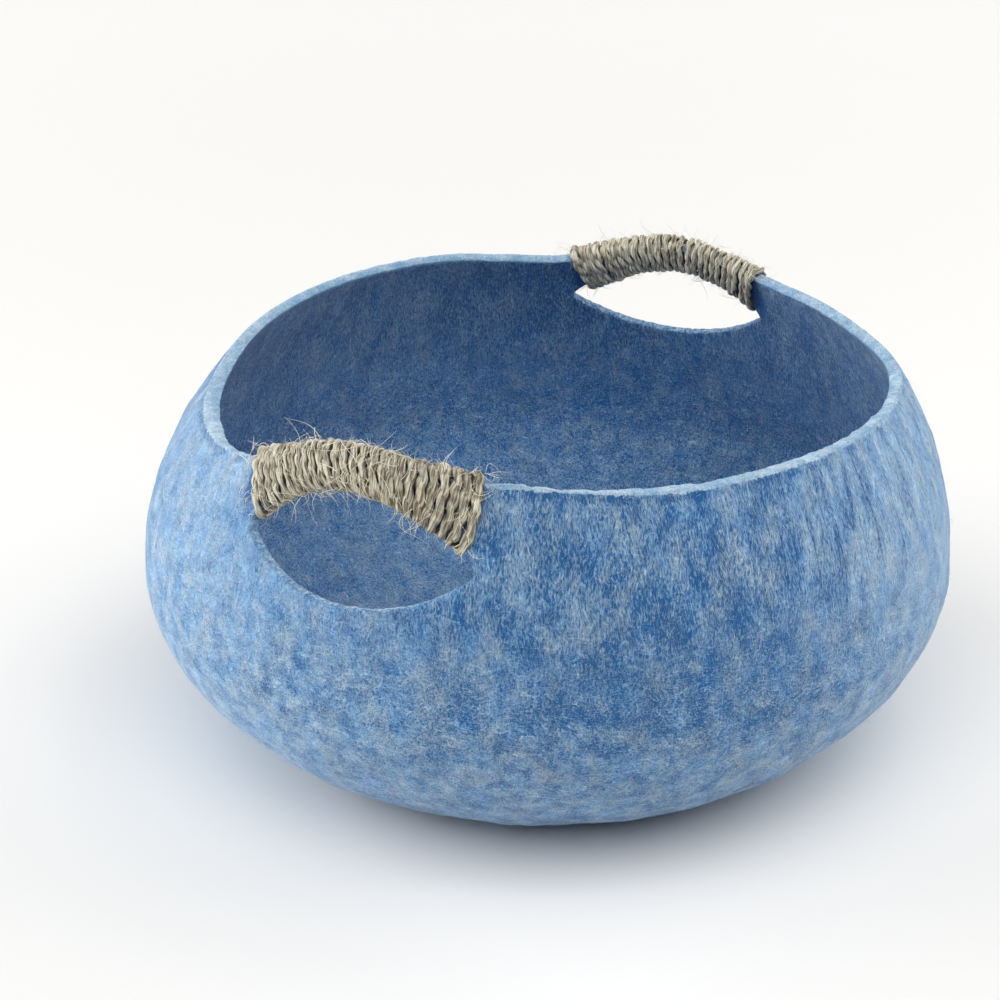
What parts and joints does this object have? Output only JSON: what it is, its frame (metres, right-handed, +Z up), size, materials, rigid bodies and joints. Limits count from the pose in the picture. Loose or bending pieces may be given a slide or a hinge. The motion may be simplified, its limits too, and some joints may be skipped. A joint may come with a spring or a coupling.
{
  "type": "open felt cat basket bed",
  "caption": "Open round cat basket bed of thick blue felted wool, with lens-shaped hand holes at the front and back, the strips over them wound with natural jute cord.",
  "frame": {"origin": "middle of the flat base, on the surface that the bed stands on", "axes": "+Z up, -Y towards the front hand hole, +X to the right of that hole seen from the front"},
  "size_m": [0.443, 0.448, 0.229],
  "materials": {
    "blue_wool_felt": "matt heather wool felt, blue mottled with pale grey-blue and dark fibres",
    "jute_cord": "matt two-ply twisted natural jute with loose fibres"
  },
  "bodies": {
    "root": {"felt_shell": "blue_wool_felt", "handle_wrap_front": "jute_cord", "handle_wrap_back": "jute_cord"}
  },
  "joints": []
}
